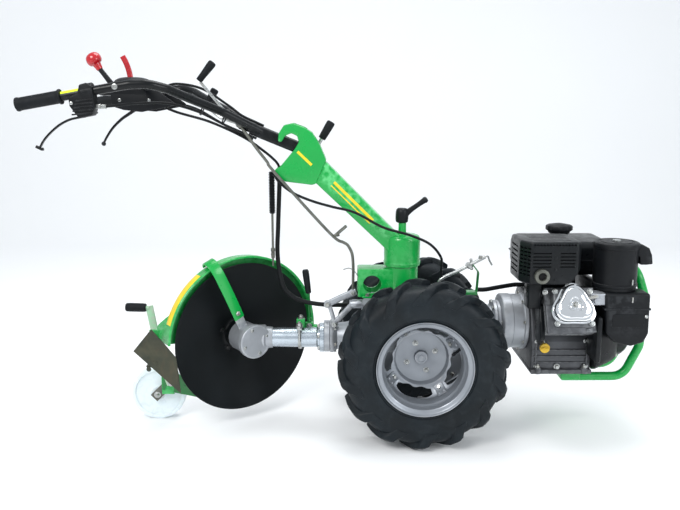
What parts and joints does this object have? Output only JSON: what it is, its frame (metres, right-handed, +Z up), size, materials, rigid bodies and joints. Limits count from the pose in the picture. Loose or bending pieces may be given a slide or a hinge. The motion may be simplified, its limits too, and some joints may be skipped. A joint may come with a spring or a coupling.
{
  "type": "walking tractor with disc plough",
  "caption": "Two-wheel walking tractor with a steerable handlebar, air-cooled engine ahead of the axle and a disc plough bolted to its rear drive outlet.",
  "frame": {"origin": "middle of the bounding box at floor level, on the plane that the drive wheels and the support wheel stand on", "axes": "+X forward, towards the engine; +Y to the machine's left; +Z up"},
  "size_m": [1.8154, 0.5444, 1.1573],
  "materials": {
    "green_paint": "gloss",
    "pale_green_paint": "satin",
    "silver_paint": "satin",
    "plough_casting": "satin",
    "cast_aluminium": "satin",
    "zinc_plate": "satin",
    "chrome": "polished",
    "black_paint": "gloss",
    "black_plastic": "satin",
    "red_plastic": "gloss",
    "white_nylon": "satin",
    "rubber": "matte",
    "tyre": "matte",
    "disc_steel": "gloss",
    "scraper_steel": "matte"
  },
  "bodies": {
    "root": {"gearbox": "cast_aluminium", "clutch_housing": "cast_aluminium", "pto_flange": "cast_aluminium", "column_base": "green_paint", "plough_gear_case": "plough_casting", "plough_tube": "plough_casting", "tilt_clamp": "green_paint", "tilt_latch_lever": "black_plastic", "disc_guard": "green_paint", "guard_strap": "green_paint", "plough_frame": "green_paint", "scraper": "scraper_steel", "depth_lever": "pale_green_paint", "support_wheel_arm": "zinc_plate", "engine_block": "cast_aluminium", "valve_cover": "chrome", "fan_housing": "black_paint", "recoil_starter": "black_paint", "fuel_tank": "black_paint", "fuel_cap": "black_plastic", "muffler_guard": "black_paint", "air_cleaner": "black_plastic", "air_duct": "black_plastic", "carburettor": "cast_aluminium", "front_guard": "green_paint", "selector_linkage": "cast_aluminium", "clutch_linkage": "zinc_plate", "pto_hose": "rubber", "gear_rod_lower": "zinc_plate", "clutch_cable": "rubber", "throttle_hose": "rubber"},
    "right_wheel": {"right_tyre": "tyre", "right_rim": "silver_paint", "right_axle_hub": "cast_aluminium"},
    "left_wheel": {"left_tyre": "tyre", "left_rim": "silver_paint", "left_axle_hub": "cast_aluminium"},
    "support_wheel": {"support_wheel": "white_nylon"},
    "plough_disc": {"plough_disc": "disc_steel"},
    "column": {"steering_arm": "green_paint", "height_pivot_bolt": "zinc_plate", "swivel_clamp_lever": "black_plastic", "height_lever": "black_plastic", "gear_rod_upper": "zinc_plate", "tension_rod": "zinc_plate"},
    "handlebar": {"handlebar": "black_paint", "right_grip": "rubber", "left_grip": "rubber", "console": "black_plastic", "red_knob_lever": "red_plastic", "red_reverse_lever": "red_plastic", "control_box": "black_plastic", "right_hand_lever": "zinc_plate", "left_hand_lever": "black_paint", "gear_lever": "black_plastic", "speed_lever": "black_plastic", "throttle_cable": "rubber", "brake_cable": "rubber"}
  },
  "joints": [
    {"name": "right_wheel_axle", "type": "hinge", "parent": "root", "child": "right_wheel", "pos_m": [0.20453, -0.18275, 0.255], "axis": [0, 1, 0], "continuous": true},
    {"name": "left_wheel_axle", "type": "hinge", "parent": "root", "child": "left_wheel", "pos_m": [0.20453, 0.18625, 0.255], "axis": [0, 1, 0], "continuous": true},
    {"name": "support_wheel_axle", "type": "hinge", "parent": "root", "child": "support_wheel", "pos_m": [-0.62947, 0.03775, 0.087], "axis": [0, 1, 0], "continuous": true},
    {"name": "disc_shaft", "type": "hinge", "parent": "root", "child": "plough_disc", "pos_m": [-0.33847, 0.00175, 0.281], "axis": [0.5807, -0.8141, 0], "continuous": true},
    {"name": "column_swivel", "type": "hinge", "parent": "root", "child": "column", "pos_m": [0.15253, 0.00175, 0.515], "axis": [0, 0, 1], "range_deg": [-25, 25], "deforming": ["pto_hose", "gear_rod_lower", "clutch_cable"]},
    {"name": "handlebar_height", "type": "hinge", "parent": "column", "child": "handlebar", "pos_m": [-0.14047, 0.00175, 0.868], "axis": [0, 1, 0], "range_deg": [-12, 12], "deforming": ["gear_rod_upper", "brake_cable"]}
  ]
}
